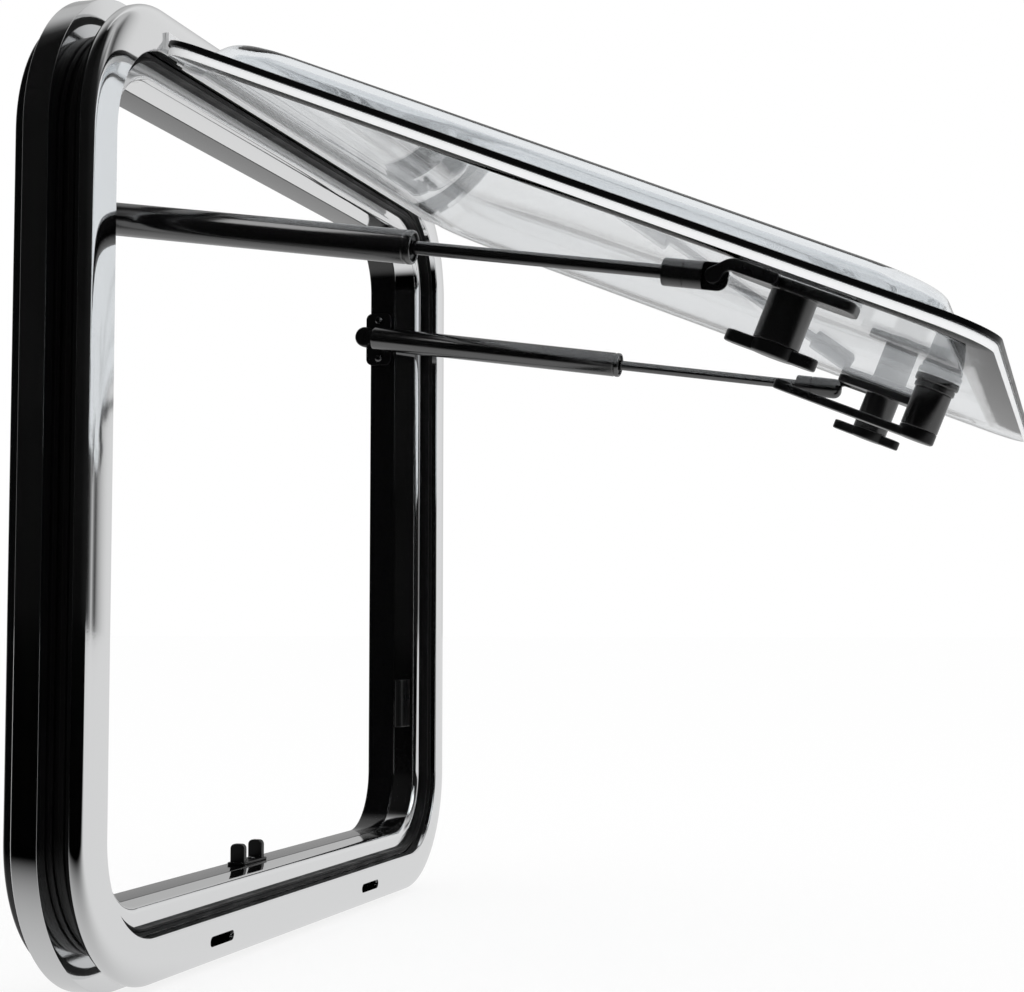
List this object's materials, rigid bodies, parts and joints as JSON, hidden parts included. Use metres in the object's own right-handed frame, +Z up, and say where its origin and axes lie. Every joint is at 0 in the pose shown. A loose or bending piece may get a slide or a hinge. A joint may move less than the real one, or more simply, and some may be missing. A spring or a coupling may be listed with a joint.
{
  "type": "top-hung caravan window",
  "caption": "Top-hung caravan window: polished aluminium frame, domed double acrylic sash held open by gas struts, turning side latches and a middle lever.",
  "frame": {"origin": "on the flange's flat rear face, which seats on the outside of the wall, at the middle of its bottom side", "axes": "+X along the width, +Y indoors, out of the flange's rear face, +Z up"},
  "size_m": [0.507, 0.4243, 0.457],
  "materials": {
    "aluminium": "polished and clear lacquered",
    "rubber": "smooth black extrusion",
    "black_plastic": "black, moulded, half gloss",
    "acrylic": "clear with a light grey tint, polished",
    "black_steel": "black, half gloss"
  },
  "bodies": {
    "frame": {"outer_frame": "aluminium", "flange_gasket": "rubber", "neck_sleeve": "black_plastic", "clamp_ring": "aluminium", "inner_trim": "black_plastic", "sash_seal": "rubber", "hinge_rail": "aluminium", "lock_keeper": "black_plastic", "latch_keeper_left": "black_plastic", "latch_keeper_right": "black_plastic", "strut_foot_left": "black_steel", "strut_foot_right": "black_steel"},
    "sash": {"outer_pane": "acrylic", "inner_pane": "acrylic", "hinge_leaf": "aluminium", "lock_base": "black_plastic", "lock_collar": "black_plastic", "lock_post": "black_plastic", "latch_plate_left": "black_plastic", "latch_plate_right": "black_plastic", "latch_post_left": "black_plastic", "latch_post_right": "black_plastic", "strut_bracket_left": "black_steel", "strut_bracket_right": "black_steel"},
    "lever": {"lock_lever": "black_plastic"},
    "hook_left": {"latch_hook_left": "black_plastic"},
    "cylinder_left": {"strut_tube_left": "black_steel", "strut_eye_left": "black_plastic", "strut_collar_left": "black_steel"},
    "rod_left": {"strut_rod_left": "black_steel", "rod_socket_left": "black_plastic"},
    "hook_right": {"latch_hook_right": "black_plastic"},
    "cylinder_right": {"strut_tube_right": "black_steel", "strut_eye_right": "black_plastic", "strut_collar_right": "black_steel"},
    "rod_right": {"strut_rod_right": "black_steel", "rod_socket_right": "black_plastic"}
  },
  "joints": [
    {"name": "sash_hinge", "type": "hinge", "parent": "frame", "child": "sash", "pos_m": [0, -0.01625, 0.4186], "axis": [1, 0, 0], "range_deg": [0, 67.8]},
    {"name": "lever_turn", "type": "hinge", "parent": "sash", "child": "lever", "pos_m": [0, -0.33859, 0.25277], "axis": [0, 0.3778, -0.9259], "range_deg": [0, 90]},
    {"name": "hook_turn_left", "type": "hinge", "parent": "sash", "child": "hook_left", "pos_m": [-0.19, -0.29481, 0.27095], "axis": [0, 0.3778, -0.9259], "range_deg": [-90, 0]},
    {"name": "strut_swing_left", "type": "hinge", "parent": "frame", "child": "cylinder_left", "pos_m": [-0.2025, 0.03, 0.342], "axis": [1, 0, 0], "range_deg": [0, 73.07]},
    {"name": "rod_slide_left", "type": "slide", "parent": "cylinder_left", "child": "rod_left", "axis": [0, -0.9899, -0.1415], "range_m": [-0.0972, 0]},
    {"name": "hook_turn_right", "type": "hinge", "parent": "sash", "child": "hook_right", "pos_m": [0.19, -0.29481, 0.27095], "axis": [0, 0.3778, -0.9259], "range_deg": [0, 90]},
    {"name": "strut_swing_right", "type": "hinge", "parent": "frame", "child": "cylinder_right", "pos_m": [0.2025, 0.03, 0.342], "axis": [1, 0, 0], "range_deg": [0, 73.07]},
    {"name": "rod_slide_right", "type": "slide", "parent": "cylinder_right", "child": "rod_right", "axis": [0, -0.9899, -0.1415], "range_m": [-0.0972, 0]}
  ],
  "couplings": [
    {"joint": "strut_swing_left", "follows": "sash_hinge", "ratio": 1.077},
    {"joint": "rod_slide_left", "follows": "sash_hinge", "m_per_rad": -0.082096},
    {"joint": "strut_swing_right", "follows": "sash_hinge", "ratio": 1.077},
    {"joint": "rod_slide_right", "follows": "sash_hinge", "m_per_rad": -0.082096}
  ]
}
